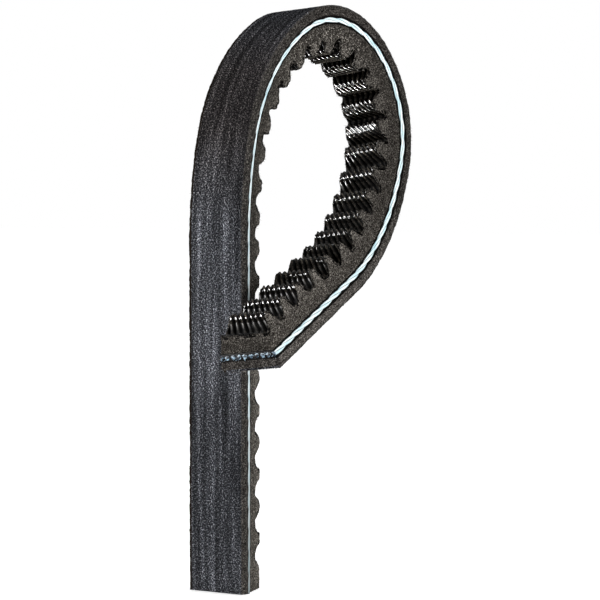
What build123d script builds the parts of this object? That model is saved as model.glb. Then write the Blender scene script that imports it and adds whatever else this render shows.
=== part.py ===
from build123d import *
import os
from math import cos, pi, radians, sin, sqrt, tan

# A cut length of raw-edge, cogged V belt.  It stands upright on its cut lower end, curls over at
# the top with its cogs on the inside and comes down again, so that its loose cut end passes in
# front of the upright run.  +Z is up, +X points from the back fabric to the cogs of the upright
# run, and -Y is the near side.  The origin is on the pitch line, in the middle of the lower end.

# ---- Layers of the belt, from the back to the cogs (mm) ----
FABRIC_PLY = 0.45            # each of the two plies of back fabric
TENSION_RUBBER = 1.3         # solid rubber over the cords
CUSHION_GUM = 0.7            # gum above the cord line, and again below it
BELT_THICKNESS = 9.7         # from the back to the tops of the cogs
COG_FABRIC = 0.35            # fabric that faces the cogs
PITCH_DEPTH = 2 * FABRIC_PLY + TENSION_RUBBER + CUSHION_GUM
COG_RUBBER_DEPTH = PITCH_DEPTH + CUSHION_GUM

# ---- Section across the belt ----
TOP_WIDTH = 13.0             # at the shoulders, where the belt is widest
BACK_WIDTH = 12.2
SHOULDER_DEPTH = 2 * FABRIC_PLY    # the edges of the back fabric are bevelled down to here
FLANK_ANGLE = 17.5           # below the shoulders, each raw flank leans in by this many degrees
CORD_COUNT = 10
CORD_DIAMETER = 0.95
CORD_INSET = 0.1             # the outermost cords' centres lie this far inside the raw flanks

# ---- Cogs, measured along the belt ----
NOTCH_DEPTH = 2.8
COG_TOP = 2.8                # length of a cog at its top, where it keeps its length in a bend
COG_ROOT = 4.9               # length of a cog at the notch floors
COG_ROUNDING = 1.0
FIRST_NOTCH = 6.63           # from the lower end to the middle of the first notch
NOTCH_PITCHES = [(10, 6.23), (25, 6.58)]    # on the pitch line: how many, and how far apart

# ---- Route of the pitch line: an upright run, (radius, degrees) of each bend, and a straight tail ----
UPRIGHT_RUN = 67.3
BENDS = [(79.0, 14.0), (33.6, 48.9), (19.15, 144.7), (51.3, 40.3)]
TAIL_RUN = 35.0
DRIFT_ANGLE = 4.5            # the belt climbs sideways at this angle, so that the tail clears the run

# ---- Working room around cutting tools ----
SIDE_ROOM = 0.4              # past each flank, small enough to miss the other run where they cross
TOP_ROOM = 1.5               # above the tops of the cogs
CORNER_LIFT = 0.06           # a notch's rounded corners end this far above the tops of the cogs
GUIDE_OFFSET = 40.0          # from the pitch line to the guide that keeps every section square

ACROSS = Vector(1, 0, 0)
UP = Vector(0, sin(radians(DRIFT_ANGLE)), cos(radians(DRIFT_ANGLE)))
SIDEWAYS = Vector(0, -cos(radians(DRIFT_ANGLE)), sin(radians(DRIFT_ANGLE)))
CLIMB = tan(radians(DRIFT_ANGLE))


def travel(heading):
    """Direction of the belt in the curl's own plane, from straight up, turning towards +X."""
    return ACROSS * sin(heading) + UP * cos(heading)


def inward(heading):
    """Direction from the back fabric to the cogs."""
    return ACROSS * cos(heading) - UP * sin(heading)


def advance(point, heading, radius, length):
    """Point and heading after one stretch of the pitch line; a straight stretch has no radius."""
    if radius is None:
        point = point + travel(heading) * length
    else:
        centre = point + inward(heading) * radius
        heading = heading + length / radius
        point = centre - inward(heading) * radius
    return point + SIDEWAYS * (CLIMB * length), heading


def find_stretches():
    """List (start length, start point, start heading, radius, length) of each stretch."""
    lengths = [(None, UPRIGHT_RUN)]
    lengths += [(radius, radius * radians(turn)) for radius, turn in BENDS]
    lengths += [(None, TAIL_RUN)]
    found = []
    station, point, heading = 0.0, Vector(0, 0, 0), 0.0
    for radius, length in lengths:
        found.append((station, point, heading, radius, length))
        point, heading = advance(point, heading, radius, length)
        station += length
    return found


STRETCHES = find_stretches()


def stretch_at(station):
    """The stretch that a length along the pitch line falls in."""
    passed = [stretch for stretch in STRETCHES if stretch[0] <= station]
    return passed[-1] if passed else STRETCHES[0]


def section_plane(station):
    """Plane square to the belt: x towards the near flank, y from the back to the cogs."""
    start, point, heading, radius, _ = stretch_at(station)
    place, turned = advance(point, heading, radius, station - start)
    along = travel(turned) + SIDEWAYS * CLIMB
    return Plane(origin=place, x_dir=inward(turned).cross(along), z_dir=along)


def lengthwise_plane(station):
    """Plane along the middle of the belt: x along it, y from the back to the cogs."""
    section = section_plane(station)
    return Plane(origin=section.origin, x_dir=section.z_dir, z_dir=section.x_dir * -1)


def route_wire(side_offset):
    """The pitch line as straight runs and helices, moved sideways."""
    edges = []
    for _, point, heading, radius, length in STRETCHES:
        begin = point + SIDEWAYS * side_offset
        if radius is None:
            edges.append(Edge.make_line(begin, advance(begin, heading, radius, length)[0]))
        else:
            seat = Plane(begin + inward(heading) * radius, x_dir=inward(heading) * -1, z_dir=SIDEWAYS)
            helix = Edge.make_helix(2 * pi * radius * CLIMB, CLIMB * length, radius, lefthand=True)
            edges.append(helix.moved(seat.location))
    return Wire(edges)


pitch_line = route_wire(0)
guide_line = route_wire(GUIDE_OFFSET)


def half_width(depth):
    """Half the belt's width at a depth below its back."""
    if depth < SHOULDER_DEPTH:
        return (BACK_WIDTH + (TOP_WIDTH - BACK_WIDTH) * depth / SHOULDER_DEPTH) / 2
    return TOP_WIDTH / 2 - (depth - SHOULDER_DEPTH) * tan(radians(FLANK_ANGLE))


def layer_outline(top, bottom, room=0):
    """Draw one layer between two depths below the back, in the current section sketch."""
    top_half, bottom_half = half_width(top) + room, half_width(bottom) + room
    top_y, bottom_y = top - PITCH_DEPTH, bottom - PITCH_DEPTH
    with BuildLine() as outline:
        Polyline((-top_half, top_y), (top_half, top_y), (bottom_half, bottom_y),
                 (-bottom_half, bottom_y), close=True)
    make_face(outline.edges())


def cord_places():
    """Centres of the cords, across the belt from the far flank to the near one."""
    outermost = half_width(PITCH_DEPTH) - CORD_INSET
    spacing = 2 * outermost / (CORD_COUNT - 1)
    return [index * spacing - outermost for index in range(CORD_COUNT)]


def follow_route(section, mode=Mode.ADD):
    """Sweep a section along the whole pitch line."""
    sweep(section.sketch, path=pitch_line, binormal=guide_line, mode=mode)


def bend_share(station, depth):
    """Length left at a depth, for each unit of length on the pitch line."""
    radius = stretch_at(station)[3]
    return 1 if radius is None else 1 - (depth - PITCH_DEPTH) / radius


def notch_places():
    """Each notch's place along the pitch line, with the length from it to the one before."""
    station = FIRST_NOTCH
    places = [(station, NOTCH_PITCHES[0][1])]
    for count, pitch in NOTCH_PITCHES:
        for _ in range(count):
            station += pitch
            places.append((station, pitch))
    return places


def notch_outline(station, pitch, grow):
    """Draw one notch, wider and deeper by grow, in the current lengthwise sketch."""
    floor_depth = BELT_THICKNESS - NOTCH_DEPTH
    floor_half = (pitch * bend_share(station, floor_depth) - COG_ROOT) / 2 + grow
    mouth_half = (pitch * bend_share(station, BELT_THICKNESS) - COG_TOP) / 2 + grow
    corner = COG_ROUNDING - grow
    floor_y = floor_depth - PITCH_DEPTH - grow
    corner_y = BELT_THICKNESS - PITCH_DEPTH - COG_ROUNDING
    outer_half = mouth_half + corner
    middle = corner / sqrt(2)
    top_y = corner_y + corner + TOP_ROOM
    with BuildLine() as outline:
        right_side = Line((floor_half, floor_y), (mouth_half, corner_y))
        right_corner = ThreePointArc(
            right_side @ 1,
            (outer_half - middle, corner_y + middle),
            (outer_half, corner_y + corner + CORNER_LIFT),
        )
        lid = Polyline(right_corner @ 1, (outer_half, top_y), (-outer_half, top_y),
                       (-outer_half, corner_y + corner + CORNER_LIFT))
        left_corner = ThreePointArc(
            lid @ 1,
            (middle - outer_half, corner_y + middle),
            (-mouth_half, corner_y),
        )
        left_side = Line(left_corner @ 1, (-floor_half, floor_y))
        Line(left_side @ 1, right_side @ 0)
    make_face(outline.edges())


def cut_notches(grow):
    """Cut every notch through the current part, grown by the facing fabric's thickness or not."""
    reach = half_width(BELT_THICKNESS - NOTCH_DEPTH - COG_FABRIC) + SIDE_ROOM
    for station, pitch in notch_places():
        with BuildSketch(lengthwise_plane(station)) as notch:
            notch_outline(station, pitch, grow)
        extrude(notch.sketch, amount=reach, both=True, mode=Mode.SUBTRACT)


def finish(builder, name):
    """Name a finished piece and write it to its own file."""
    builder.part.label = name
    export_step(builder.part, f"parts/{name}.step")


os.makedirs("parts", exist_ok=True)

# ---- Back fabric, in two plies ----
with BuildPart() as outer_back_fabric:
    with BuildSketch(section_plane(0)) as section:
        layer_outline(0, FABRIC_PLY)
    follow_route(section)
finish(outer_back_fabric, "outer_back_fabric")

with BuildPart() as inner_back_fabric:
    with BuildSketch(section_plane(0)) as section:
        layer_outline(FABRIC_PLY, 2 * FABRIC_PLY)
    follow_route(section)
finish(inner_back_fabric, "inner_back_fabric")

# ---- Solid rubber between the fabric and the cord line ----
with BuildPart() as tension_rubber:
    with BuildSketch(section_plane(0)) as section:
        layer_outline(2 * FABRIC_PLY, PITCH_DEPTH - CUSHION_GUM)
    follow_route(section)
finish(tension_rubber, "tension_rubber")


# ---- Cushion gum around the cords ----
def cushion_gum(top, bottom):
    """Sweep a sheet of gum, with a groove for each cord in the face on the pitch line."""
    with BuildSketch(section_plane(0)) as section:
        layer_outline(top, bottom)
        with Locations([(place, 0) for place in cord_places()]):
            Circle(CORD_DIAMETER / 2, mode=Mode.SUBTRACT)
    follow_route(section)


with BuildPart() as upper_cushion_gum:
    cushion_gum(PITCH_DEPTH - CUSHION_GUM, PITCH_DEPTH)
finish(upper_cushion_gum, "upper_cushion_gum")

with BuildPart() as lower_cushion_gum:
    cushion_gum(PITCH_DEPTH, PITCH_DEPTH + CUSHION_GUM)
finish(lower_cushion_gum, "lower_cushion_gum")

# ---- Tensile cords, the outermost two cut open by the raw flanks ----
for number, place in enumerate(cord_places(), start=1):
    with BuildPart() as tensile_cord:
        with BuildSketch(section_plane(0)) as section:
            layer_outline(PITCH_DEPTH - CUSHION_GUM, PITCH_DEPTH + CUSHION_GUM)
            with Locations((place, 0)):
                Circle(CORD_DIAMETER / 2, mode=Mode.INTERSECT)
        follow_route(section)
    finish(tensile_cord, f"tensile_cord_{number:02d}")

# ---- Cogs: solid rubber, faced with fabric ----
with BuildPart() as compression_rubber:
    with BuildSketch(section_plane(0)) as section:
        layer_outline(COG_RUBBER_DEPTH, BELT_THICKNESS)
    follow_route(section)
    with BuildSketch(section_plane(0)) as facing:
        layer_outline(BELT_THICKNESS - COG_FABRIC, BELT_THICKNESS + TOP_ROOM, SIDE_ROOM)
    follow_route(facing, Mode.SUBTRACT)
    cut_notches(COG_FABRIC)
finish(compression_rubber, "compression_rubber")

with BuildPart() as cog_fabric:
    with BuildSketch(section_plane(0)) as section:
        layer_outline(COG_RUBBER_DEPTH, BELT_THICKNESS)
    follow_route(section)
    cut_notches(0)
    add(compression_rubber.part, mode=Mode.SUBTRACT)
finish(cog_fabric, "cog_fabric")
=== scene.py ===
import math

import bpy
import numpy as np
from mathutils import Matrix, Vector
from mathutils.geometry import delaunay_2d_cdt


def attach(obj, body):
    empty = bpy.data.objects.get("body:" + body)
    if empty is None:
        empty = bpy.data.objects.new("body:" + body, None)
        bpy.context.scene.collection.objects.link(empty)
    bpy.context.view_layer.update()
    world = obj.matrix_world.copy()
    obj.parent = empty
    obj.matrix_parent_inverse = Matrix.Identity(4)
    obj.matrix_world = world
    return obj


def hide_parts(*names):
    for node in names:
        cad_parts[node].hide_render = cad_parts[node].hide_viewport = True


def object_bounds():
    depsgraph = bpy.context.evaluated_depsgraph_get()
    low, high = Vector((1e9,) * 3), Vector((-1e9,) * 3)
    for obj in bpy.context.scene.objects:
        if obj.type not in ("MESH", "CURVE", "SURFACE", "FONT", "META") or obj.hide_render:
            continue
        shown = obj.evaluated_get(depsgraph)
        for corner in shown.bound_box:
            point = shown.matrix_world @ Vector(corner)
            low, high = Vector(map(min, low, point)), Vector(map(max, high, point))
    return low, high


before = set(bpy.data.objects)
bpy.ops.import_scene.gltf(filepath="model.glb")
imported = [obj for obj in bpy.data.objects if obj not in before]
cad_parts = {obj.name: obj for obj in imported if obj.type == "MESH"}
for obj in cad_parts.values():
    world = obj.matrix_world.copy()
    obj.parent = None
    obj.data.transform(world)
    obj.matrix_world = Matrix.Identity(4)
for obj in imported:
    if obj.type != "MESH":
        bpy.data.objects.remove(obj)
cad_low, cad_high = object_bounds()

# --------------------------------------
# The belt's section and route, the same as the CAD model's.  Millimetres, until place() below.
# --------------------------------------
MM = 0.001

FABRIC_PLY = 0.45
TENSION_RUBBER = 1.3
CUSHION_GUM = 0.7
BELT_THICKNESS = 9.7
COG_FABRIC = 0.35
PITCH_DEPTH = 2 * FABRIC_PLY + TENSION_RUBBER + CUSHION_GUM
COG_RUBBER_DEPTH = PITCH_DEPTH + CUSHION_GUM

TOP_WIDTH = 13.0
BACK_WIDTH = 12.2
SHOULDER_DEPTH = 2 * FABRIC_PLY
FLANK_LEAN = math.tan(math.radians(17.5))
CORD_COUNT = 10
CORD_RADIUS = 0.475
CORD_INSET = 0.1

NOTCH_DEPTH = 2.8
COG_TOP = 2.8
COG_ROOT = 4.9
COG_ROUNDING = 1.0
FIRST_NOTCH = 6.63
NOTCH_PITCHES = [(10, 6.23), (25, 6.58)]

UPRIGHT_RUN = 67.3
BENDS = [(79.0, 14.0), (33.6, 48.9), (19.15, 144.7), (51.3, 40.3)]
TAIL_RUN = 35.0
DRIFT = math.radians(4.5)
CLIMB = math.tan(DRIFT)

ACROSS = np.array([1.0, 0.0, 0.0])
UP = np.array([0.0, math.sin(DRIFT), math.cos(DRIFT)])
SIDEWAYS = np.array([0.0, -math.cos(DRIFT), math.sin(DRIFT)])


def travel(heading):
    """Directions of the belt in the curl's own plane, one row for each heading."""
    return np.multiply.outer(np.sin(heading), ACROSS) + np.multiply.outer(np.cos(heading), UP)


def inward(heading):
    """Directions from the back fabric to the cogs."""
    return np.multiply.outer(np.cos(heading), ACROSS) - np.multiply.outer(np.sin(heading), UP)


def advance(point, heading, radius, length):
    """Points and headings at lengths along one stretch; a straight stretch has no radius."""
    if radius is None:
        turned = heading + 0.0 * length
        ahead = point + np.multiply.outer(length, travel(heading))
    else:
        turned = heading + length / radius
        ahead = point + inward(heading) * radius - inward(turned) * radius
    return ahead + np.multiply.outer(CLIMB * length, SIDEWAYS), turned


def find_stretches():
    """(start length, start point, start heading, radius, length) of each stretch of the route."""
    lengths = [(None, UPRIGHT_RUN)]
    lengths += [(radius, radius * math.radians(turn)) for radius, turn in BENDS]
    lengths += [(None, TAIL_RUN)]
    found = []
    station, point, heading = 0.0, np.zeros(3), 0.0
    for radius, length in lengths:
        found.append((station, point, heading, radius, length))
        point, heading = advance(point, heading, radius, length)
        station += length
    return found, station


STRETCHES, BELT_LENGTH = find_stretches()


def belt_axes(station):
    """Pitch-line points with the directions along, inward and to the near side, for each station."""
    station = np.asarray(station, float)
    point = np.zeros(station.shape + (3,))
    heading = np.zeros(station.shape)
    for index, (start, origin, turn, radius, length) in enumerate(STRETCHES):
        first = index == 0
        last = index == len(STRETCHES) - 1
        here = ((station >= start) | first) & ((station < start + length) | last)
        point[here], heading[here] = advance(origin, turn, radius, station[here] - start)
    along = travel(heading) + CLIMB * SIDEWAYS
    along /= np.linalg.norm(along, axis=-1, keepdims=True)
    to_cogs = inward(heading)
    return point, along, to_cogs, np.cross(to_cogs, along)


def bend_radius(station):
    """Radius of the pitch line at one station, or None where it is straight."""
    for start, _, _, radius, length in reversed(STRETCHES):
        if station >= start:
            return radius
    return None


def half_width(depth):
    """Half the belt's width at depths below its back."""
    bevel = (BACK_WIDTH + (TOP_WIDTH - BACK_WIDTH) * depth / SHOULDER_DEPTH) / 2
    flank = TOP_WIDTH / 2 - (depth - SHOULDER_DEPTH) * FLANK_LEAN
    return np.minimum(bevel, flank)


def place(station, across, depth, ahead=0.0):
    """Points in metres from lengths along the belt, places across it and depths below its back."""
    point, along, to_cogs, near = belt_axes(station)
    across, depth, ahead = np.broadcast_arrays(across, depth, ahead)
    offset = to_cogs * (depth - PITCH_DEPTH)[..., None] + near * across[..., None]
    return (point + offset + along * ahead[..., None]) * MM


# --------------------------------------
# Repeatable noise for shapes
# --------------------------------------
def lattice_value(x, y, z, seed):
    """A repeatable number from -1 to 1 for each whole-numbered lattice point."""
    mixed = (x * 374761393 + y * 668265263 + z * 2147483647 + seed * 1274126177) & 0xFFFFFFFF
    mixed = ((mixed ^ (mixed >> 13)) * 1103515245) & 0xFFFFFFFF
    mixed = mixed ^ (mixed >> 16)
    return (mixed & 0xFFFF) / 32767.5 - 1.0


def noise(x, y, z, seed):
    """Smooth noise from -1 to 1.  Its features are about one unit across, so x / 3 makes them 3 mm long."""
    x, y, z = np.broadcast_arrays(np.asarray(x, float), np.asarray(y, float), np.asarray(z, float))
    cells = [np.floor(value).astype(np.int64) for value in (x, y, z)]
    shares = [value - cell for value, cell in zip((x, y, z), cells)]
    shares = [share * share * (3 - 2 * share) for share in shares]
    total = np.zeros(x.shape)
    for corner in range(8):
        steps = (corner & 1, (corner >> 1) & 1, corner >> 2)
        weight = np.ones(x.shape)
        for share, step in zip(shares, steps):
            weight *= share if step else 1 - share
        total += weight * lattice_value(*(cell + step for cell, step in zip(cells, steps)), seed)
    return total


# --------------------------------------
# Mesh making
# --------------------------------------
def make_mesh(name, points, faces, belt_place, material, node):
    """A piece from points and faces, with each point's (along, across, depth) kept for its material."""
    mesh = bpy.data.meshes.new(name)
    mesh.from_pydata(points.tolist(), [], faces)
    kept = mesh.attributes.new("belt_place", "FLOAT_VECTOR", "POINT")
    kept.data.foreach_set("vector", np.ascontiguousarray(belt_place, np.float32).ravel())
    mesh.polygons.foreach_set("use_smooth", np.ones(len(mesh.polygons), bool))
    mesh.materials.append(material)
    mesh.update()
    piece = bpy.data.objects.new(name, mesh)
    bpy.context.scene.collection.objects.link(piece)
    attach(piece, "root")
    if node:
        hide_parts(node)
    return piece


def keep(piece, name, values):
    """Give each point one number, for the piece's material."""
    kept = piece.data.attributes.new(name, "FLOAT", "POINT")
    kept.data.foreach_set("value", np.ascontiguousarray(values, np.float32).ravel())


def tube_faces(rows, columns):
    """Quads round a closed outline of so many columns, from row to row."""
    faces = []
    for row in range(rows - 1):
        base = row * columns
        for column in range(columns):
            here, following = base + column, base + (column + 1) % columns
            faces.append((here, following, following + columns, here + columns))
    return faces


def end_faces(rows, columns):
    """One face over each end of a tube."""
    return [tuple(reversed(range(columns))), tuple(range((rows - 1) * columns, rows * columns))]


def cap_points(outline, spacing, rng):
    """Loose points inside an outline of (across, depth) pairs, about spacing apart."""
    low, high = outline.min(0), outline.max(0)
    columns = np.arange(low[0] + spacing / 2, high[0], spacing)
    rows = np.arange(low[1] + spacing / 2, high[1], spacing)
    grid = np.stack(np.meshgrid(columns, rows), -1).reshape(-1, 2)
    grid += rng.uniform(-0.3, 0.3, grid.shape) * spacing
    following = np.roll(outline, -1, axis=0)
    inside = np.zeros(len(grid), bool)
    clear = np.full(len(grid), np.inf)
    for start, end in zip(outline, following):
        crosses = (start[1] > grid[:, 1]) != (end[1] > grid[:, 1])
        if start[1] != end[1]:
            slope = (end[0] - start[0]) / (end[1] - start[1])
            inside ^= crosses & (grid[:, 0] < start[0] + (grid[:, 1] - start[1]) * slope)
        edge = end - start
        share = np.clip(((grid - start) @ edge) / max(edge @ edge, 1e-12), 0, 1)
        clear = np.minimum(clear, np.linalg.norm(grid - start - share[:, None] * edge, axis=1))
    return grid[inside & (clear > spacing * 0.45)]


def close_end(outline, spacing, rng):
    """Triangles that fill an outline, with loose points inside it: (extra points, faces)."""
    extra = cap_points(outline, spacing, rng)
    flat = [Vector(pair) for pair in np.vstack([outline, extra])]
    count = len(outline)
    result = delaunay_2d_cdt(flat, [], [list(range(count))], 1, 1e-6)
    faces, origins = result[2], result[3]
    home = [source[0] if source else None for source in origins]
    return extra, [tuple(home[corner] for corner in face) for face in faces]


CUT_SPACING = 0.3          # between the loose points of a cut end
CUT_RELIEF = 0.04          # how rough the cut ends are


def swept_body(name, stations, across, depth, material, node, seed):
    """A closed body from outlines across the belt, one for each station, with rough cut ends."""
    rng = np.random.default_rng(seed)
    rows, columns = across.shape
    along = np.repeat(np.asarray(stations, float)[:, None], columns, axis=1)
    places = [np.stack([along, across, depth], -1).reshape(-1, 3)]
    points = [place(along, across, depth).reshape(-1, 3)]
    faces = tube_faces(rows, columns)
    total = rows * columns
    for row, outward in ((0, -1.0), (rows - 1, 1.0)):
        outline = np.stack([across[row], depth[row]], -1)
        extra, cap = close_end(outline, CUT_SPACING, rng)
        lift = CUT_RELIEF * noise(extra[:, 0] / 0.35, extra[:, 1] / 0.35, outward, seed)
        lift += 0.6 * CUT_RELIEF * noise(extra[:, 0] / 1.2, extra[:, 1] / 0.15, outward, seed + 1)
        station = np.full(len(extra), stations[row])
        points.append(place(station, extra[:, 0], extra[:, 1], outward * lift))
        places.append(np.stack([station, extra[:, 0], extra[:, 1]], -1))
        first = row * columns
        for face in cap:
            corners = [first + c if c < columns else total + c - columns for c in face]
            a, b, c = (outline[k] if k < columns else extra[k - columns] for k in face)
            turn = (b[0] - a[0]) * (c[1] - a[1]) - (b[1] - a[1]) * (c[0] - a[0])
            faces.append(tuple(corners) if turn * outward > 0 else tuple(reversed(corners)))
        total += len(extra)
    make_mesh(name, np.vstack(points), faces, np.vstack(places), material, node)


# --------------------------------------
# Materials.  Every pattern follows the belt: its coordinates are millimetres along, across and deep
# --------------------------------------
ONE_BAND = 2 * math.pi / 20            # scale of a wave texture that repeats once for each unit


def rgba(shade):
    """A number as a grey and a colour as it is, for a colour input; a socket is left alone."""
    if isinstance(shade, bpy.types.NodeSocket):
        return shade
    return (*shade, 1.0) if isinstance(shade, tuple) else (shade, shade, shade, 1.0)


class Material:
    """A node material whose patterns are placed by the belt_place attribute."""

    def __init__(self, name):
        self.material = bpy.data.materials.new(name)
        self.material.use_nodes = True
        self.tree = self.material.node_tree
        self.belt = self.node("Attribute", "Vector", attribute_name="belt_place")
        axes = (self.node("SeparateXYZ", axis, {0: self.belt}) for axis in "XYZ")
        self.along, self.across, self.deep = axes

    def feed(self, node, inputs):
        """Give a node's inputs their values, or link them to other nodes' outputs."""
        for name, value in inputs.items():
            if isinstance(value, bpy.types.NodeSocket):
                self.tree.links.new(value, node.inputs[name])
            else:
                node.inputs[name].default_value = value

    def node(self, kind, output, inputs=None, **settings):
        """One output of a new node."""
        node = self.tree.nodes.new("ShaderNode" + kind)
        for name, value in settings.items():
            setattr(node, name, value)
        self.feed(node, inputs or {})
        return node.outputs[output]

    def stretched(self, along, across, depth, turn=0.0):
        """Belt coordinates divided by a feature size in each direction, after a turn on the back face."""
        turned = self.belt
        if turn:
            inputs = {"Vector": self.belt, "Angle": math.radians(turn)}
            turned = self.node("VectorRotate", "Vector", inputs, rotation_type="Z_AXIS")
        inputs = {0: turned, 1: (1 / along, 1 / across, 1 / depth)}
        return self.node("VectorMath", "Vector", inputs, operation="MULTIPLY")

    def noise(self, sizes, detail, roughness, turn=0.0):
        """Clouds with features of about these sizes."""
        inputs = {"Vector": self.stretched(*sizes, turn), "Scale": 1.0, "Detail": detail,
                  "Roughness": roughness}
        return self.node("TexNoise", "Fac", inputs)

    def cells(self, sizes):
        """Distance to the nearest of scattered points, for specks and fibre ends."""
        return self.node("TexVoronoi", "Distance", {"Vector": self.stretched(*sizes), "Scale": 1.0})

    def threads(self, period, turn, distortion):
        """Parallel threads on the back face, one for each period."""
        inputs = {"Vector": self.stretched(period, period, period, turn), "Scale": ONE_BAND,
                  "Distortion": distortion, "Detail": 2.0}
        return self.node("TexWave", "Fac", inputs, wave_type="BANDS", bands_direction="X")

    def kept(self, name):
        """A number kept for each point: groove is 1 between ridges, flatness is 1 off the notches' walls."""
        return self.node("Attribute", "Fac", attribute_name=name)

    def between(self, value, start, end):
        """Zero up to start, one from end on."""
        return self.node("MapRange", "Result", {"Value": value, "From Min": start, "From Max": end})

    def calculate(self, operation, first, second=0.0):
        """One step of arithmetic on a value and another value or number."""
        return self.node("Math", "Value", {0: first, 1: second}, operation=operation)

    def apart(self, value, centre, start, end):
        """Zero where the value is start away from a centre, one where it is end away."""
        distance = self.calculate("ABSOLUTE", self.calculate("SUBTRACT", value, centre))
        return self.between(distance, start, end)

    def ramp(self, value, *stops):
        """Map a value through (position, shade) stops; a shade is a number or a colour."""
        node = self.tree.nodes.new("ShaderNodeValToRGB")
        points = node.color_ramp.elements
        while len(points) < len(stops):
            points.new(0.5)
        for point, (position, shade) in zip(points, stops):
            point.position = position
            point.color = rgba(shade)
        self.feed(node, {"Fac": value})
        return node.outputs["Color"]

    def mix(self, share, first, second, kind="MIX"):
        """Blend two colours or values; share and both inputs may be numbers, colours or sockets."""
        inputs = {0: share, 6: rgba(first), 7: rgba(second)}
        return self.node("Mix", 2, inputs, data_type="RGBA", blend_type=kind)

    def times(self, first, second, share=1.0):
        """Multiply one colour or value by another, wholly or by a share."""
        return self.mix(share, first, second, "MULTIPLY")

    def finish(self, colour, roughness, specular, *relief):
        """The finished material, with a bump from each (value, depth in millimetres) over the one before."""
        inputs = {"Base Color": colour, "Roughness": roughness, "Specular IOR Level": specular}
        normal = {}
        for value, depth in relief:
            bump = self.node("Bump", "Normal", {"Height": value, "Distance": depth * MM, **normal})
            normal = {"Normal": bump}
        self.feed(self.tree.nodes["Principled BSDF"], {**inputs, **normal})
        return self.material


def shaded(colour, share):
    """A colour made darker or lighter."""
    return tuple(share * part for part in colour)


def raw_rubber_colour(made, base, light):
    """Sliced rubber full of short fibres: its colour, the height of its grain and its fibre ends."""
    grain = made.noise((0.30, 0.22, 0.22), 3.0, 0.7)
    clump = made.noise((1.5, 0.9, 0.9), 4.0, 0.65)
    cloud = made.noise((8.0, 4.0, 4.0), 2.0, 0.5)
    shades = shaded(base, 0.15), base, shaded(base, 2.2), light
    ground = made.ramp(grain, *zip((0.38, 0.50, 0.58, 0.70), shades))
    ends = made.ramp(made.cells((0.42, 0.36, 0.30)), (0.10, 1.0), (0.24, 0.0))
    fibre = made.times(ends, made.ramp(clump, (0.42, 0.0), (0.60, 1.0)))
    colour = made.mix(fibre, ground, light)
    frayed = made.times(made.between(made.deep, 5.5, 8.5), made.ramp(grain, (0.49, 0.0), (0.6, 0.55)))
    colour = made.mix(frayed, colour, light)
    salt = made.ramp(made.cells((0.55, 0.45, 0.42)), (0.17, 1.0), (0.30, 0.0))
    flecks = made.times(made.apart(made.along, CROWN_PLACE, *FLECKED_REACH), salt)
    flecks = made.times(flecks, made.between(made.deep, 3.6, 5.0))
    colour = made.mix(flecks, colour, shaded(light, 1.7))
    colour = made.times(colour, made.ramp(clump, (0.34, 0.78), (0.64, 1.22)))
    colour = made.times(colour, made.ramp(cloud, (0.3, 0.9), (0.7, 1.1)))
    # Painted shade: the rubber is painted dark in a thin band along the gum, as shade in the recess beside
    # the cords.
    unmarked = made.apart(made.deep, PITCH_DEPTH, CUSHION_GUM + 0.08, CUSHION_GUM + 0.22)
    colour = made.times(colour, made.ramp(unmarked, (0.0, CORD_GAP_SHADE), (1.0, 1.0)))
    return colour, grain, fibre


def raw_edge(made, ragged):
    """One on the back's bevelled edges, with a ragged border towards the canvas."""
    across = made.calculate("ADD", made.calculate("ABSOLUTE", made.across), ragged)
    return made.between(across, EDGE_START + 0.5, EDGE_START + 0.5 + EDGE_FADE)


def back_fabric_material(name, base, light, edge_base, edge_light):
    """Rubberised canvas with a fine pale speckle and lengthwise streaks; its bevelled edges are raw."""
    made = Material(name)
    warp, weft = (made.ramp(made.threads(THREAD_PERIOD, turn, 1.5), (0.0, 0.4), (1.0, 1.0))
                  for turn in (THREAD_TURN, -THREAD_TURN))
    weave = made.times(warp, weft)
    grain = made.noise((0.30, 0.26, 0.3), 3.0, 0.7)
    streak = made.noise((30.0, 1.5, 1.0), 4.0, 0.65)
    blotch = made.noise((16.0, 5.0, 6.0), 3.0, 0.55)
    shades = shaded(base, 0.3), base, shaded(base, 2.5), light
    colour = made.ramp(grain, *zip((0.42, 0.50, 0.57, 0.66), shades))
    colour = made.times(colour, made.ramp(streak, (0.34, 0.4), (0.5, 0.9), (0.66, 2.2)))
    colour = made.times(colour, made.ramp(blotch, (0.3, 0.75), (0.7, 1.25)))
    # Painted light: the back is painted lighter around this place on the run, as if lit from the left.
    lit_patch = made.apart(made.along, LIT_PATCH_PLACE, *LIT_PATCH_REACH)
    colour = made.times(colour, made.ramp(lit_patch, (0.0, 1.0), (0.6, 1.5)))
    # Painted shade: the back is painted darker and a little browner over the top of the curl.
    curl_shade = made.apart(made.along, CURL_SHADE_PLACE, *CURL_SHADE_REACH)
    colour = made.times(colour, made.ramp(curl_shade, (0.0, 1.0), (1.0, CURL_SHADE_TINT)))
    colour = made.times(colour, weave, 0.45)
    raw, raw_grain, _ = raw_rubber_colour(made, edge_base, edge_light)
    colour = made.mix(raw_edge(made, raw_grain), colour, raw)
    # Painted shade: a darker brown band along the far edge of the back.
    far_rim_shade = made.between(made.across, 0.7 - BACK_WIDTH / 2, 0.35 - BACK_WIDTH / 2)
    colour = made.mix(far_rim_shade, colour, FAR_RIM_SHADE)
    roughness = made.ramp(grain, (0.3, 0.85), (0.7, 0.6))
    return made.finish(colour, roughness, 0.0, (weave, 0.06), (grain, 0.12), (streak, 0.05))


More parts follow.
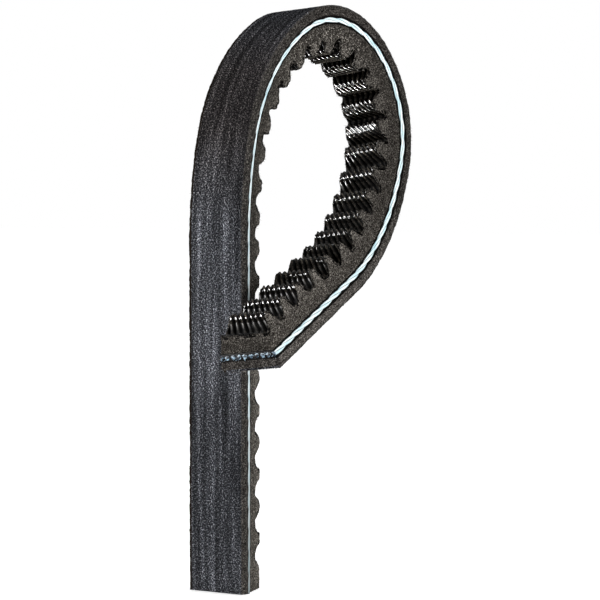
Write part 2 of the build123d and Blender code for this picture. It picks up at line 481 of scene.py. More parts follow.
def under_facing(made):
    """One inside the flanks, where rubber shows only in the depths between the facing's ridges, and is
    painted near black there as shade.
    """
    leaning = made.calculate("MULTIPLY", made.deep, FLANK_LEAN)
    reach = made.calculate("ADD", made.calculate("ABSOLUTE", made.across), leaning)
    flank = half_width(BELT_THICKNESS) + FLANK_LEAN * BELT_THICKNESS
    inside = made.between(reach, flank - 0.12, flank - 0.25)
    for other in (made.between(made.deep, 5.0, 6.0), made.between(made.along, 0.1, 0.4),
                  made.between(made.along, BELT_LENGTH - 0.1, BELT_LENGTH - 0.4)):
        inside = made.calculate("MINIMUM", inside, other)
    return inside


def raw_rubber_material(name, base, light, run_painted_light, tail_painted_light):
    """Rubber sliced through with its short fibres; its flanks are painted paler on the run and the tail,
    painted light standing in for the light that falls there.
    """
    made = Material(name)
    colour, grain, fibre = raw_rubber_colour(made, base, light)
    on_run = made.calculate("MINIMUM", made.between(made.along, 75, 40), made.between(made.along, 0.1, 0.5))
    on_tail = made.calculate("MINIMUM", made.between(made.along, BELT_LENGTH - 60, BELT_LENGTH - 25),
                             made.between(made.along, BELT_LENGTH + 0.15, BELT_LENGTH - 0.5))
    # Painted light: the flanks are painted lighter on the run and on the tail, standing in for more light
    # falling there.
    for lit_part, amount in ((on_run, run_painted_light), (on_tail, tail_painted_light)):
        colour = made.times(colour, made.ramp(lit_part, (0.0, 1.0), (1.0, amount)))
    drag = made.noise((2.4, 0.2, 0.2), 3.0, 0.6)
    colour = made.times(colour, made.ramp(drag, (0.3, 0.6), (0.7, 1.35)), 0.7)
    # Painted shade: rubber under the facing is painted near black, where it shows only deep between the
    # ridges.
    colour = made.times(colour, made.ramp(under_facing(made), (0.0, 1.0), (1.0, 0.02)))
    roughness = made.ramp(grain, (0.3, 0.9), (0.75, 0.65))
    return made.finish(colour, roughness, 0.0, (drag, 0.05), (grain, 0.12), (fibre, 0.04))


def gum_material():
    """Soft black gum, smoother than the rubber beside it."""
    made = Material("cushion_gum")
    grain = made.noise((0.5, 0.3, 0.3), 3.0, 0.6)
    colour = made.ramp(grain, (0.3, GUM_SHADES[0]), (0.75, GUM_SHADES[1]))
    return made.finish(colour, made.ramp(grain, (0.3, 0.85), (0.7, 0.65)), 0.15, (grain, 0.04))


def notch_shade(made, rubbed_and_unshaded, flatness):
    """Painted shade on the facing inside the notches, darker where they all but close."""
    shades = []
    for floor_share, wall_share in (OPEN_NOTCH, CLOSED_NOTCH):
        floor_shade = made.ramp(rubbed_and_unshaded, (0.0, floor_share), (0.6, 1.0))
        shades.append(made.times(floor_shade, made.ramp(flatness, (0.45, wall_share), (0.85, 1.0))))
    return made.mix(made.apart(made.along, CROWN_PLACE, *CLOSED_REACH), *shades)


def cog_fabric_material():
    """Facing fabric pressed into ridges: black, rubber-filled, with a hard shine on its tops."""
    made = Material("cog_fabric")
    yarn = made.noise((0.14, 0.7, 0.7), 3.0, 0.65)
    grain = made.noise((0.4, 0.3, 0.3), 4.0, 0.65)
    dust = made.noise((2.4, 1.6, 1.6), 4.0, 0.6)
    # One on the crests: they are rubbed smooth and shiny there, and out of the painted shade of the notches.
    rubbed_and_unshaded = made.between(made.deep, BELT_THICKNESS - 2.4, BELT_THICKNESS - 1.0)
    flatness = made.kept("flatness")
    colour = made.ramp(grain, *zip((0.38, 0.52, 0.70), FACING_SHADES))
    colour = made.times(colour, made.ramp(dust, (0.38, 0.5), (0.66, 2.2)))
    fluff = made.ramp(made.cells((0.5, 0.3, 0.3)), (0.06, 1.0), (0.16, 0.0))
    lint = made.times(fluff, made.ramp(dust, (0.52, 0.0), (0.68, 0.8)))
    colour = made.mix(lint, colour, LINT)
    # Painted shade: the grooves between the ridges are painted near black.
    colour = made.times(colour, made.ramp(made.kept("groove"), (0.08, 1.0), (0.26, 0.2), (0.45, 0.01)))
    # Painted shade on the floors and walls of the notches.
    colour = made.times(colour, notch_shade(made, rubbed_and_unshaded, flatness))
    roughness = made.mix(rubbed_and_unshaded, 0.65, made.ramp(yarn, (0.3, 0.08), (0.7, 0.20)))
    shine = made.ramp(rubbed_and_unshaded, (0.0, 0.03), (0.5, 0.12), (1.0, 0.55))
    shine = made.times(shine, made.ramp(flatness, (0.15, 0.05), (0.5, 1.0)))
    return made.finish(colour, roughness, shine, (yarn, 0.015), (grain, 0.015))


def cord_material():
    """Pale blue polyester filaments; the lines run along the strands."""
    made = Material("tensile_cord")
    filaments = made.noise((2.2, 0.08, 0.08), 3.0, 0.6, 8)
    tint = made.noise((3.5, 0.6, 0.6), 2.0, 0.5)
    colour = made.ramp(tint, *zip((0.3, 0.5, 0.68), CORD_SHADES))
    colour = made.times(colour, made.ramp(filaments, (0.3, 0.5), (0.6, 1.0)), 0.5)
    # The cords are darker and bluer, in patches, at their cut ends.
    cut_end_colour = made.ramp(made.noise((0.7, 0.75, 0.3), 3.0, 0.7), *zip((0.42, 0.49, 0.58), CUT_END_SHADES))
    for unmarked, end in ((0.35, 0.0), (BELT_LENGTH - 0.35, BELT_LENGTH)):
        colour = made.mix(made.between(made.along, unmarked, end), colour, cut_end_colour)
    # The cords are greyer along the lower part of the upright run.
    colour = made.mix(made.between(made.along, 45.0, -15.0), colour, LOWER_RUN_GREY)
    # Painted shade: the valleys between a cord's strands are painted darker.
    strand_valley_shade = made.ramp(made.kept("groove"), (0.70, 1.0), (0.86, 0.5), (0.97, 0.06))
    roughness = made.ramp(filaments, (0.3, 0.65), (0.7, 0.45))
    return made.finish(made.times(colour, strand_valley_shade), roughness, 0.4, (filaments, 0.03))


def fuzz_material():
    """Loose grey-brown fibre ends."""
    made = Material("edge_fuzz")
    tint = made.noise((1.5, 1.5, 1.5), 2.0, 0.5)
    colour = made.ramp(tint, *zip((0.38, 0.5, 0.65), FUZZ_SHADES))
    return made.finish(colour, made.ramp(tint, (0.3, 0.8), (0.7, 0.6)), 0.3)


# Places along the belt, each with the distances from it at which its look starts and is complete
CROWN_PLACE = 120.0                    # the top of the curl
FLECKED_REACH = (26.0, 12.0)           # the flank is flecked with fibre there
CLOSED_REACH = (20.0, 14.0)            # and the notches all but close, with darker painted shade in them
LIT_PATCH_PLACE = 62.0                    # the back is painted lighter here, a painted pool of light
LIT_PATCH_REACH = (28.0, 0.0)
CURL_SHADE_PLACE = 94.0                     # and painted darker and a little browner here, painted shade over the top of the curl
CURL_SHADE_REACH = (24.0, 6.0)

OPEN_NOTCH = (0.45, 0.4)               # how much of its colour the facing keeps under the painted shade on a notch's floor and walls
CLOSED_NOTCH = (0.08, 0.08)            # and under the darker painted shade where the notches all but close
CORD_GAP_SHADE = 0.1                        # how much of its colour rubber keeps in the painted shade along the gum beside the cords
THREAD_PERIOD = 0.62
THREAD_TURN = 52                       # degrees between the canvas's threads and the belt's length
EDGE_START = BACK_WIDTH / 2 - 0.15     # where the canvas gives way to its raw, bevelled edge
EDGE_FADE = 0.2

# Colours, from dark to light
RAW_BASE, RAW_LIGHT = (0.0225, 0.0205, 0.0188), (0.20, 0.185, 0.17)
RAW_EDGE, EDGE_LIGHT = (0.027, 0.0248, 0.0228), (0.24, 0.225, 0.205)
COG_BASE, COG_LIGHT = (0.0225, 0.0203, 0.0178), (0.20, 0.185, 0.166)
CANVAS_BASE, CANVAS_LIGHT = (0.034, 0.0355, 0.0405), (0.40, 0.41, 0.44)
# The tint of the painted shade over the top of the curl
CURL_SHADE_TINT = (0.72, 0.64, 0.58)
# The colour of the painted shade along the far edge of the back
FAR_RIM_SHADE = (0.014, 0.0105, 0.008)
GUM_SHADES = [(0.0015, 0.0015, 0.0015), (0.008, 0.0075, 0.007)]
FACING_SHADES = [(0.012, 0.0102, 0.008), (0.036, 0.031, 0.025), (0.13, 0.112, 0.09)]
LINT = (0.22, 0.20, 0.17)
CORD_SHADES = [(0.50, 0.72, 0.79), (0.72, 0.86, 0.90), (0.90, 0.95, 0.96)]
CUT_END_SHADES = [(0.004, 0.007, 0.012), (0.05, 0.11, 0.19), (0.50, 0.70, 0.85)]
LOWER_RUN_GREY = (0.10, 0.097, 0.09)
FUZZ_SHADES = [(0.03, 0.027, 0.024), (0.10, 0.09, 0.08), (0.34, 0.31, 0.27)]

CANVAS = back_fabric_material("back_fabric", CANVAS_BASE, CANVAS_LIGHT, RAW_EDGE, RAW_LIGHT)
INNER_CANVAS = raw_rubber_material("inner_fabric", RAW_EDGE, EDGE_LIGHT, run_painted_light=1.0, tail_painted_light=1.8)
TENSION = raw_rubber_material("tension_rubber", RAW_BASE, RAW_LIGHT, run_painted_light=1.2, tail_painted_light=2.3)
COMPRESSION = raw_rubber_material("compression_rubber", COG_BASE, COG_LIGHT, run_painted_light=1.7, tail_painted_light=1.7)
GUM = gum_material()
FACING = cog_fabric_material()
CORD = cord_material()
FUZZ = fuzz_material()


# --------------------------------------
# Flat layers: two plies of fabric, the tension rubber and the two sheets of gum
# --------------------------------------
ROW_STEP = 0.35            # between a layer's outlines
LAYER_COLUMNS = 3          # down each of a layer's flanks
GUM_INSET = 0.08           # the gum lies this far inside the raw flanks
CUSHION_TOP = PITCH_DEPTH - CUSHION_GUM
EVEN_STATIONS = np.linspace(0.0, BELT_LENGTH, int(BELT_LENGTH / ROW_STEP) + 1)


def layer_outlines(top, bottom, seed, edge_relief, back_relief=0.0, back_columns=2, inset=0.0):
    """Outlines of a flat layer with a back roughened by wear and rough flanks: its places across and its
    depths.
    """
    along = EVEN_STATIONS[:, None]
    share = np.linspace(-1, 1, back_columns + 1)[None, :]
    down = np.linspace(0, 1, LAYER_COLUMNS + 1)[1:-1][None, :]
    fade = 1 - share**8
    waves = noise(along / 9.0, share * 5.0, 0.0, seed) + 0.7 * noise(along / 0.9, share * 9.0, 3.0, seed)
    back_depth = top + fade * back_relief * waves
    flank_depth = top + (bottom - top) * down

    def edge(depth, side):
        rough = noise(along / 0.55, depth / 0.3, side, seed + 5)
        rough = rough + 0.7 * noise(along / 2.6, depth, side, seed + 6)
        return side * (half_width(depth) - inset + edge_relief * rough)

    near_top, far_top = edge(top, 1.0), edge(top, -1.0)
    back_across = (near_top - far_top) / 2 * share + (near_top + far_top) / 2
    across = np.hstack([back_across, edge(flank_depth, 1.0), edge(bottom, 1.0), edge(bottom, -1.0),
                        edge(flank_depth, -1.0)[:, ::-1]])
    flat = np.full((len(along), 1), bottom)
    flank = flank_depth + 0 * along
    depth = np.hstack([back_depth + 0 * along, flank, flat, flat, flank[:, ::-1]])
    return across, depth


def make_layer(name, top, bottom, material, slot, seed, **surface):
    """One flat layer from its top to its bottom depth below the back."""
    across, depth = layer_outlines(top, bottom, seed, **surface)
    swept_body(name + "_skin", EVEN_STATIONS, across, depth, material, name, seed)


make_layer("outer_back_fabric", 0.0, FABRIC_PLY, CANVAS, "back_fabric", 11,
           edge_relief=0.09, back_relief=0.04, back_columns=40)
make_layer("inner_back_fabric", FABRIC_PLY, 2 * FABRIC_PLY, INNER_CANVAS, "inner_fabric", 12,
           edge_relief=0.07, inset=0.03)
make_layer("tension_rubber", 2 * FABRIC_PLY, CUSHION_TOP, TENSION, "tension_rubber", 13, edge_relief=0.045)
make_layer("upper_cushion_gum", CUSHION_TOP, PITCH_DEPTH, GUM, "cushion_gum", 14,
           edge_relief=0.03, inset=GUM_INSET)
make_layer("lower_cushion_gum", PITCH_DEPTH, COG_RUBBER_DEPTH, GUM, "cushion_gum", 15,
           edge_relief=0.03, inset=GUM_INSET)


# --------------------------------------
# Cogs
# --------------------------------------
CREST_FALL = 0.30          # how much lower a cog is at its corners than at its middle
CREST_BEND = 1.3           # above 1, a crest is down before the middle of the notch
OUTLINE_STEP = 0.2         # between the points of the cogs' outline
FINE_STEP = 0.05           # between its points while it is being worked out
CORNER_SOFTNESS = 0.9      # length of outline over which its corners are smoothed
CORNER_POINTS = 9


def notch_places():
    """Each notch's place along the pitch line, with the length from it to the one before."""
    station = FIRST_NOTCH
    places = [(station, NOTCH_PITCHES[0][1])]
    for count, pitch in NOTCH_PITCHES:
        for _ in range(count):
            station += pitch
            places.append((station, pitch))
    return places


def notch_profile(station, pitch):
    """Half of one notch as (along, depth from the pitch line) points, from its middle to its edge."""
    radius = bend_radius(station)
    floor_y = BELT_THICKNESS - NOTCH_DEPTH - PITCH_DEPTH
    top_y = BELT_THICKNESS - PITCH_DEPTH
    floor_share = 1.0 if radius is None else 1 - floor_y / radius
    top_share = 1.0 if radius is None else 1 - top_y / radius
    floor_half = (pitch * floor_share - COG_ROOT) / 2
    mouth_half = (pitch * top_share - COG_TOP) / 2
    corner_y = top_y - COG_ROUNDING
    turn = np.linspace(0, math.pi / 2, CORNER_POINTS)
    corner_x = mouth_half + COG_ROUNDING * (1 - np.cos(turn))
    corner = np.stack([corner_x, corner_y + COG_ROUNDING * np.sin(turn)], -1)
    return np.vstack([[0.0, floor_y], [floor_half, floor_y], corner]), radius


def dome_crests(lengths, depths):
    """Depths with each cog's crest rounded off from its middle down to its corners."""
    middles = np.array([middle for middle, _ in notch_places()])
    before = np.searchsorted(middles, lengths).clip(1, len(middles) - 1)
    start, end = middles[before - 1], middles[before]
    share = (2 * lengths - start - end) / (end - start)
    height = (depths - BELT_THICKNESS + NOTCH_DEPTH) / NOTCH_DEPTH
    return depths - CREST_FALL * np.clip(CREST_BEND * share, -1, 1) ** 2 * np.clip(height, 0, 1)


def cog_surface():
    """The cogs' outline as lengths along the belt and depths below the back, from end to end."""
    lengths, depths = [np.zeros(1)], [np.full(1, BELT_THICKNESS)]
    for middle, pitch in notch_places():
        half, radius = notch_profile(middle, pitch)
        whole = np.vstack([half[:0:-1] * [-1, 1], half])
        if radius is None:
            along, inward_by = whole[:, 0], whole[:, 1]
        else:
            along = radius * np.arctan2(whole[:, 0], radius - whole[:, 1])
            inward_by = radius - np.hypot(whole[:, 0], radius - whole[:, 1])
        lengths.append(middle + along)
        depths.append(inward_by + PITCH_DEPTH)
    lengths, depths = np.concatenate(lengths), np.concatenate(depths)
    run = np.concatenate([[0.0], np.cumsum(np.hypot(np.diff(lengths), np.diff(depths)))])
    fine = np.arange(0.0, run[-1], FINE_STEP)
    fine_lengths, fine_depths = np.interp(fine, run, lengths), np.interp(fine, run, depths)
    window = np.hanning(int(CORNER_SOFTNESS / FINE_STEP) | 1)
    window /= window.sum()
    pad = len(window) // 2
    fine_lengths = np.convolve(np.pad(fine_lengths, pad, "edge"), window, "valid")
    fine_depths = np.convolve(np.pad(fine_depths, pad, "edge"), window, "valid")
    fine_depths = dome_crests(fine_lengths, fine_depths)
    inside = (fine_lengths > 0.0) & (fine_lengths < BELT_LENGTH)
    kept_lengths, kept_depths = fine_lengths[inside], fine_depths[inside]
    start_depth = np.interp(0.0, fine_lengths, fine_depths)
    end_depth = np.interp(BELT_LENGTH, fine_lengths, fine_depths)
    every = int(OUTLINE_STEP / FINE_STEP)
    lengths = np.concatenate([[0.0], kept_lengths[every:-every:every], [BELT_LENGTH]])
    depths = np.concatenate([[start_depth], kept_depths[every:-every:every], [end_depth]])
    return lengths, depths


RIDGE_COUNT = 7
RIDGE_DEPTH = 0.5
RIDGE_SLANT = 0.6          # the ridges lean towards the near side as they run along the belt
RIDGE_SWAY = 0.05          # how far they wander, as a share of their spacing
RIDGE_WEAR = 0.25          # how unevenly deep they are
RIDGE_SHARPNESS = 1.15
FACING_GRAIN = 0.03        # fine roughness of the facing and its edges
SKIN_DEPTH = 0.65          # from the crests to the hidden underside of the facing
EDGE_LIP = 0.12            # width of bare rubber that closes the facing's edges
FACING_COLUMNS = 52        # across the facing
FLANK_COLUMNS = 12         # down each flank of the rubber under it
COG_LENGTHS, COG_DEPTHS = cog_surface()


def bend_scale(lengths, depths):
    """How much shorter the belt is at each depth than on its pitch line."""
    radii = [bend_radius(length) for length in lengths]
    return np.array([1.0 if r is None else 1 - (d - PITCH_DEPTH) / r for r, d in zip(radii, depths)])


def outward_slope(lengths, depths):
    """Unit directions out of the cogs' outline, as (along, depth)."""
    scale = bend_scale(lengths, depths)
    rise = np.gradient(depths)
    run = np.gradient(lengths) * scale
    size = np.hypot(rise, run)
    return -rise / size, run / size, scale


SLOPE_ALONG, SLOPE_DEEP, SLOPE_SCALE = outward_slope(COG_LENGTHS, COG_DEPTHS)


def pushed(amount):
    """The cogs' outline moved outwards by an amount, or into the belt where it is negative."""
    lengths = COG_LENGTHS[:, None] + SLOPE_ALONG[:, None] / SLOPE_SCALE[:, None] * amount
    depths = COG_DEPTHS[:, None] + SLOPE_DEEP[:, None] * amount
    lengths = np.clip(lengths, 0.0, BELT_LENGTH)
    return np.maximum.accumulate(lengths, axis=0), depths


def make_cog_fabric(seed):
    """The ribbed facing over the cogs, a closed skin with a flat underside."""
    rows, wide = len(COG_LENGTHS), FACING_COLUMNS + 3
    share = np.linspace(-1, 1, FACING_COLUMNS + 1)[None, :]
    along = COG_LENGTHS[:, None]
    crest_half = half_width(BELT_THICKNESS)
    sway = RIDGE_SWAY * noise(along / 3.0, 0.0, share * 2.0, seed)
    sway = sway + 0.6 * RIDGE_SWAY * noise(along / 0.8, 0.0, share * 4.0, seed + 1)
    spacing = 2 * crest_half / RIDGE_COUNT
    ridge = np.abs(np.sin(math.pi * ((share * crest_half - RIDGE_SLANT * along) / spacing + sway)))
    lively = 1 + RIDGE_WEAR * noise(along / 1.1, share * 5.0, 0.0, seed + 2)
    sunk = -RIDGE_DEPTH * lively * (1 - ridge) ** RIDGE_SHARPNESS
    sunk = sunk + FACING_GRAIN * noise(along / 0.35, share * 12.0, 0.0, seed + 3)
    lengths, depths = pushed(sunk)
    edge = half_width(depths) + FACING_GRAIN * noise(along / 0.5, share, 2.0, seed + 4)
    across = share * edge
    under_lengths, under_depths = pushed(-SKIN_DEPTH)
    under = np.stack([-half_width(under_depths), half_width(under_depths)], 1)[:, :, 0]
    all_lengths = np.hstack([lengths[:, ::-1], np.repeat(under_lengths, 2, axis=1)])
    all_depths = np.hstack([depths[:, ::-1], np.repeat(under_depths, 2, axis=1)])
    all_across = np.hstack([across[:, ::-1], under])
    all_lengths[0], all_lengths[-1] = 0.0, BELT_LENGTH
    points = place(all_lengths, all_across, all_depths).reshape(-1, 3)
    places = np.stack([all_lengths, all_across, all_depths], -1).reshape(-1, 3)
    faces = []
    for first, second, third, fourth in tube_faces(rows, wide):
        faces += [(first, second, fourth), (second, third, fourth)]    # split along the slant of the ridges
    faces += end_faces(rows, wide)
    skin = make_mesh("cog_fabric_skin", points, faces, places, FACING, "cog_fabric")
    keep(skin, "groove", np.hstack([1 - ridge[:, ::-1], np.ones((rows, 2))]))
    keep(skin, "flatness", np.repeat(np.abs(SLOPE_DEEP)[:, None], wide, axis=1))


def make_compression_rubber(seed):
    """The rubber body under the facing, with its raw flanks and cut ends."""
    lengths, depths = pushed(-COG_FABRIC * 0.6)
    lengths, depths = lengths[:, 0], depths[:, 0]
    lengths[0], lengths[-1] = 0.0, BELT_LENGTH
    share = np.linspace(0, 1, FLANK_COLUMNS + 1)[None, :]
    flank_depth = COG_RUBBER_DEPTH + (depths[:, None] - COG_RUBBER_DEPTH) * share
    along = lengths[:, None]

    def flank(side):
        rough = noise(along / 0.5, flank_depth / 0.4, side, seed)
        rough = rough + 0.8 * noise(along / 2.2, flank_depth / 1.4, side, seed + 1)
        return side * (half_width(flank_depth) + 0.04 * rough)

    rim = flank_depth[:, -1:]
    lip = half_width(rim) - EDGE_LIP
    bed = rim - (SKIN_DEPTH - COG_FABRIC)
    across = np.hstack([flank(1.0), lip, lip, -lip, -lip, flank(-1.0)[:, ::-1]])
    deep = np.hstack([flank_depth, rim, bed, bed, rim, flank_depth[:, ::-1]])
    swept_body("compression_rubber_body", lengths, across, deep, COMPRESSION, "compression_rubber",
               seed)


make_cog_fabric(seed=21)
make_compression_rubber(seed=22)


# --------------------------------------
# Tensile cords
# --------------------------------------
STRANDS = 3
LAY = 12.6                 # length of one full turn of a cord's strands
CORD_PROUD = 0.02          # how far a sliced cord stands out of the raw flank
CORD_BULGE = 0.15          # how much of its roundness it keeps there
SLICED_MESH = (0.35, 36)   # spacing of the rows and number of columns of the two sliced cords
HIDDEN_MESH = (1.0, 24)    # and of the cords between them
WEDGE = 2 * math.pi / STRANDS
OUTERMOST = half_width(PITCH_DEPTH) - CORD_INSET


def strand_outline(angle):
    """Distance from a cord's middle to the outside of its three laid strands."""
    strand = CORD_RADIUS / (1 + 2 / math.sqrt(3))
    offset = CORD_RADIUS - strand
    turn = (angle + WEDGE / 2) % WEDGE - WEDGE / 2
    lobed = offset * np.cos(turn) + np.sqrt(np.maximum(strand**2 - (offset * np.sin(turn)) ** 2, 0))
    return 0.1 * CORD_RADIUS + 0.9 * lobed


def make_cord(number, middle, step, columns):
    """One three-strand cord; the outermost two are sliced along the raw flank."""
    rng = np.random.default_rng(100 + number)
    lead = rng.uniform(0.05, 0.3, 2)
    stations = np.linspace(0.0, BELT_LENGTH, int(BELT_LENGTH / step) + 1)
    angle = np.linspace(0, 2 * math.pi, columns, endpoint=False)[None, :]
    start = rng.uniform(0, 2 * math.pi)
    turned = angle - 2 * math.pi * stations[:, None] / LAY - start
    fuzz = noise(stations[:, None] / 0.4, np.cos(angle) * 2, np.sin(angle) * 2, number)
    reach = strand_outline(turned) + 0.012 * fuzz
    across = middle + reach * np.cos(angle)
    depth = PITCH_DEPTH + reach * np.sin(angle)
    limit = half_width(PITCH_DEPTH) - FLANK_LEAN * (depth - PITCH_DEPTH) + CORD_PROUD
    sunk = np.clip(across, -limit, limit)
    across = sunk + CORD_BULGE * (across - sunk)
    ahead = np.zeros(len(stations))
    ahead[0], ahead[-1] = -lead[0], lead[1]
    rows, wide = across.shape
    along = np.repeat(stations[:, None], wide, axis=1)
    points = place(along, across, depth, np.repeat(ahead[:, None], wide, axis=1)).reshape(-1, 3)
    places = np.stack([along, across, depth], -1).reshape(-1, 3)
    faces = tube_faces(rows, wide) + end_faces(rows, wide)
    name = f"tensile_cord_{number:02d}"
    cord = make_mesh(name + "_strands", points, faces, places, CORD, name)
    keep(cord, "groove", np.abs((turned + WEDGE / 2) % WEDGE - WEDGE / 2) / (WEDGE / 2))


for number in range(1, CORD_COUNT + 1):
    middle = -OUTERMOST + (number - 1) * 2 * OUTERMOST / (CORD_COUNT - 1)
    sliced = number in (1, CORD_COUNT)
    make_cord(number, middle, *(SLICED_MESH if sliced else HIDDEN_MESH))


# --------------------------------------
# Loose fibre ends along the raw edges
# --------------------------------------
FIBRES_PER_BACK_EDGE = 700
FIBRES_PER_COG_EDGE = 1500
FIBRES_AT_CUT_END = 260
FILAMENTS_PER_CORD = 16
FIBRE_FOOT = 0.05          # how deep a fibre's foot is sunk


def fibre_roots(rng):
    """Where loose fibres grow: rows of (along, across, depth), then the same for the way outwards."""
    roots = []
    for side in (1.0, -1.0):
        station = rng.uniform(0, BELT_LENGTH, FIBRES_PER_BACK_EDGE)
        depth = rng.uniform(0, SHOULDER_DEPTH, FIBRES_PER_BACK_EDGE) ** 2 / SHOULDER_DEPTH
        roots.append((station, side * half_width(depth), depth, 0.0, side, -0.7))
        row = rng.integers(1, len(COG_LENGTHS) - 1, FIBRES_PER_COG_EDGE)
        below = rng.exponential(0.35, FIBRES_PER_COG_EDGE)
        depth = np.maximum(COG_DEPTHS[row] - below, COG_RUBBER_DEPTH)
        roots.append((COG_LENGTHS[row], side * half_width(depth), depth, 0.0, side, 0.5))
    across = rng.uniform(-1, 1, FIBRES_AT_CUT_END)
    top = rng.random(FIBRES_AT_CUT_END) < 0.5
    depth = np.where(top, 0.0, COG_DEPTHS[-1] - COG_FABRIC)
    roots.append((np.full(FIBRES_AT_CUT_END, BELT_LENGTH), across * half_width(depth), depth, 1.0, 0.0,
                  np.where(top, -0.6, 0.6)))
    joined = [np.stack(np.broadcast_arrays(*group), -1) for group in roots]
    return np.vstack(joined)


def make_spikes(name, roots, material, rng, length, width, spread):
    """Small tapered fibres, each a three-sided spike."""
    count = len(roots)
    length = rng.gamma(2.0, length / 2, count).clip(0.3 * length, 2.5 * length)
    width = rng.uniform(0.6, 1.4, count) * width
    lean = roots[:, 3:6] + rng.normal(0, spread, (count, 3))
    lean /= np.linalg.norm(lean, axis=1, keepdims=True)
    first = np.cross(lean, rng.normal(0, 1, (count, 3)))
    first /= np.linalg.norm(first, axis=1, keepdims=True)
    second = np.cross(lean, first)
    points, places = [], []
    for corner in range(4):
        turn = 2 * math.pi * corner / 3
        if corner < 3:
            step = (first * math.cos(turn) + second * math.sin(turn)) * width[:, None] - FIBRE_FOOT * lean
        else:
            step = lean * length[:, None]
        points.append(place(roots[:, 0], roots[:, 1] + step[:, 1], roots[:, 2] + step[:, 2], step[:, 0]))
        places.append(roots[:, :3] + step)
    points = np.stack(points, 1).reshape(-1, 3)
    places = np.stack(places, 1).reshape(-1, 3)
    faces = []
    for fibre in range(count):
        a, b, c, tip = range(4 * fibre, 4 * fibre + 4)
        faces += [(a, b, tip), (b, c, tip), (c, a, tip), (a, c, b)]
    return make_mesh(name, points, faces, places, material, None)


def cord_ends(rng):
    """Roots of the filaments that fan out of the cords where the tail is cut."""
    turn = rng.uniform(0, 2 * math.pi, (CORD_COUNT, FILAMENTS_PER_CORD))
    reach = CORD_RADIUS * np.sqrt(rng.random(turn.shape))
    middle = np.linspace(-OUTERMOST, OUTERMOST, CORD_COUNT)[:, None]
    across = (middle + reach * np.cos(turn)).clip(-OUTERMOST, OUTERMOST)
    depth = PITCH_DEPTH + reach * np.sin(turn)
    groups = np.broadcast_arrays(BELT_LENGTH, across, depth, 1.0, 0.6 * np.cos(turn), 0.6 * np.sin(turn))
    return np.stack(groups, -1).reshape(-1, 6)


def make_edge_fuzz():
    """Rubbery fibres on the raw edges and cord filaments on the tail's cut end."""
    rng = np.random.default_rng(31)
    make_spikes("edge_fuzz", fibre_roots(rng), FUZZ, rng,
                length=0.22, width=0.03, spread=0.6)
    filaments = make_spikes("cord_filaments", cord_ends(rng), CORD, rng,
                            length=0.4, width=0.07, spread=0.5)
    keep(filaments, "groove", np.zeros(len(filaments.data.vertices)))


make_edge_fuzz()


# --------------------------------------
# Floor, light and camera
# --------------------------------------
STUDIO_LIGHT = 0.4         # the white surroundings' brightness as a light, where 1 is what the camera sees
STUDIO_SHINE = 0.12        # and in reflections
FLOOR_HALF = 3.0           # metres from the middle of the floor to its edges
FLOOR_GAP = 0.0002
FLOOR_PAINT = (0.93, 0.93, 0.93, 1)
FLOOR_GLOW = 0.7

BELT_MIDDLE = (cad_low + cad_high) / 2
UPPER_COGS = (0.032, -0.008, 0.096)
SOFTBOX = {"distance": 0.8, "size": (0.4, 0.5)}

CAMERA_TARGET = Vector((0.01659, -0.00658, 0.05581))
CAMERA_DISTANCE = 0.54407
CAMERA_AZIMUTH = math.radians(-56.31)
CAMERA_ELEVATION = math.radians(2.51)
CAMERA_LENS = 166.3


def make_floor():
    """A plain pale floor under the cut lower end."""
    mesh = bpy.data.meshes.new("studio_floor")
    corners = [(x * FLOOR_HALF, y * FLOOR_HALF, 0) for x, y in ((-1, -1), (1, -1), (1, 1), (-1, 1))]
    mesh.from_pydata(corners, [], [(0, 1, 2, 3)])
    floor = bpy.data.objects.new("studio_floor", mesh)
    floor.location.z = cad_low.z - FLOOR_GAP
    paint = bpy.data.materials.new("studio_floor")
    paint.use_nodes = True
    shader = paint.node_tree.nodes["Principled BSDF"]
    shader.inputs["Base Color"].default_value = FLOOR_PAINT
    shader.inputs["Roughness"].default_value = 0.9
    shader.inputs["Specular IOR Level"].default_value = 0.1
    shader.inputs["Emission Color"].default_value = (1, 1, 1, 1)
    shader.inputs["Emission Strength"].default_value = FLOOR_GLOW
    mesh.materials.append(paint)
    bpy.context.scene.collection.objects.link(floor)
    floor.visible_glossy = False


def make_area_light(name, target, direction, power, distance, size, diffuse=True, spread=180):
    """A soft rectangular light aimed at a point, either for the belt's body or only for glints."""
    data = bpy.data.lights.new(name, "AREA")
    data.shape = "RECTANGLE"
    data.size, data.size_y = size
    data.energy = power
    data.spread = math.radians(spread)
    light = bpy.data.objects.new(name, data)
    aim = Vector(direction).normalized()
    light.location = Vector(target) + aim * distance
    light.rotation_euler = aim.to_track_quat("Z", "Y").to_euler()
    light.visible_diffuse = diffuse
    light.visible_glossy = not diffuse
    light.visible_camera = False
    bpy.context.scene.collection.objects.link(light)


def glint_direction(turn):
    """Towards a light that the camera sees glinting on cogs that face about half this many degrees up."""
    turn = math.radians(turn)
    sideways = math.sin(CAMERA_AZIMUTH)
    return sideways * math.cos(turn), math.cos(CAMERA_AZIMUTH), -sideways * math.sin(turn)


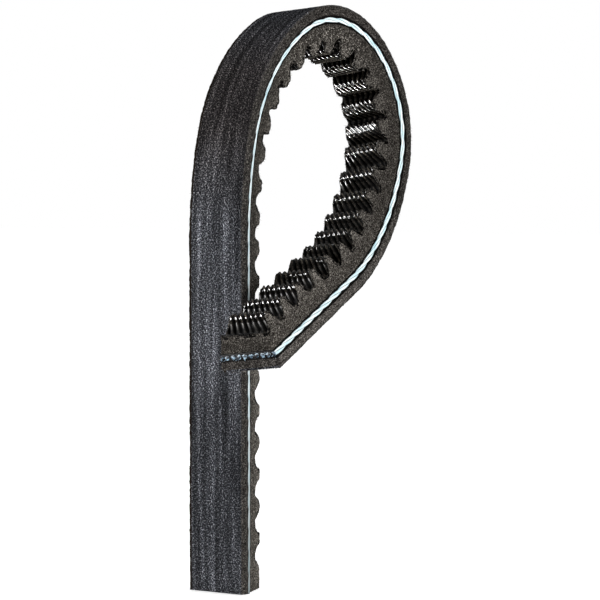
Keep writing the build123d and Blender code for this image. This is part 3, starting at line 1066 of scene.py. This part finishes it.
def make_world():
    """A white studio all round that lights the belt only weakly."""
    world = bpy.data.worlds.new("studio")
    world.use_nodes = True
    tree = world.node_tree
    seen = tree.nodes.new("ShaderNodeLightPath")
    body = tree.nodes.new("ShaderNodeMapRange")
    body.inputs["To Min"].default_value = STUDIO_LIGHT
    body.inputs["To Max"].default_value = STUDIO_SHINE
    tree.links.new(seen.outputs["Is Glossy Ray"], body.inputs["Value"])
    strength = tree.nodes.new("ShaderNodeMapRange")
    strength.inputs["To Max"].default_value = 1.0
    tree.links.new(seen.outputs["Is Camera Ray"], strength.inputs["Value"])
    tree.links.new(body.outputs["Result"], strength.inputs["To Min"])
    background = tree.nodes["Background"]
    background.inputs["Color"].default_value = (1, 1, 1, 1)
    tree.links.new(strength.outputs["Result"], background.inputs["Strength"])
    bpy.context.scene.world = world


def make_camera():
    """The camera looks from the back fabric's side, a little from above, with a long lens."""
    data = bpy.data.cameras.new("camera")
    data.sensor_width = 36.0
    data.lens = CAMERA_LENS
    camera = bpy.data.objects.new("camera", data)
    level = math.cos(CAMERA_ELEVATION)
    back = Vector((math.sin(CAMERA_AZIMUTH) * level, -math.cos(CAMERA_AZIMUTH) * level,
                   math.sin(CAMERA_ELEVATION)))
    camera.location = CAMERA_TARGET + back * CAMERA_DISTANCE
    camera.rotation_euler = back.to_track_quat("Z", "Y").to_euler()
    data.clip_start, data.clip_end = 0.01, 20.0
    bpy.context.scene.collection.objects.link(camera)
    bpy.context.scene.camera = camera


make_floor()
make_world()
make_area_light("front_left", BELT_MIDDLE, (-1.0, -0.25, 0.02), 3.7, **SOFTBOX)
make_area_light("front_right", BELT_MIDDLE, (0.6, -1.0, 0.35), 4.8, **SOFTBOX)
make_area_light("glints", BELT_MIDDLE, glint_direction(29), 19.0,
                distance=0.5, size=(0.22, 0.20), diffuse=False)
make_area_light("glints_below", UPPER_COGS, glint_direction(-72), 0.03,
                distance=0.105, size=(0.045, 0.04), diffuse=False, spread=18)
make_camera()
bpy.context.scene.view_settings.view_transform = "Standard"
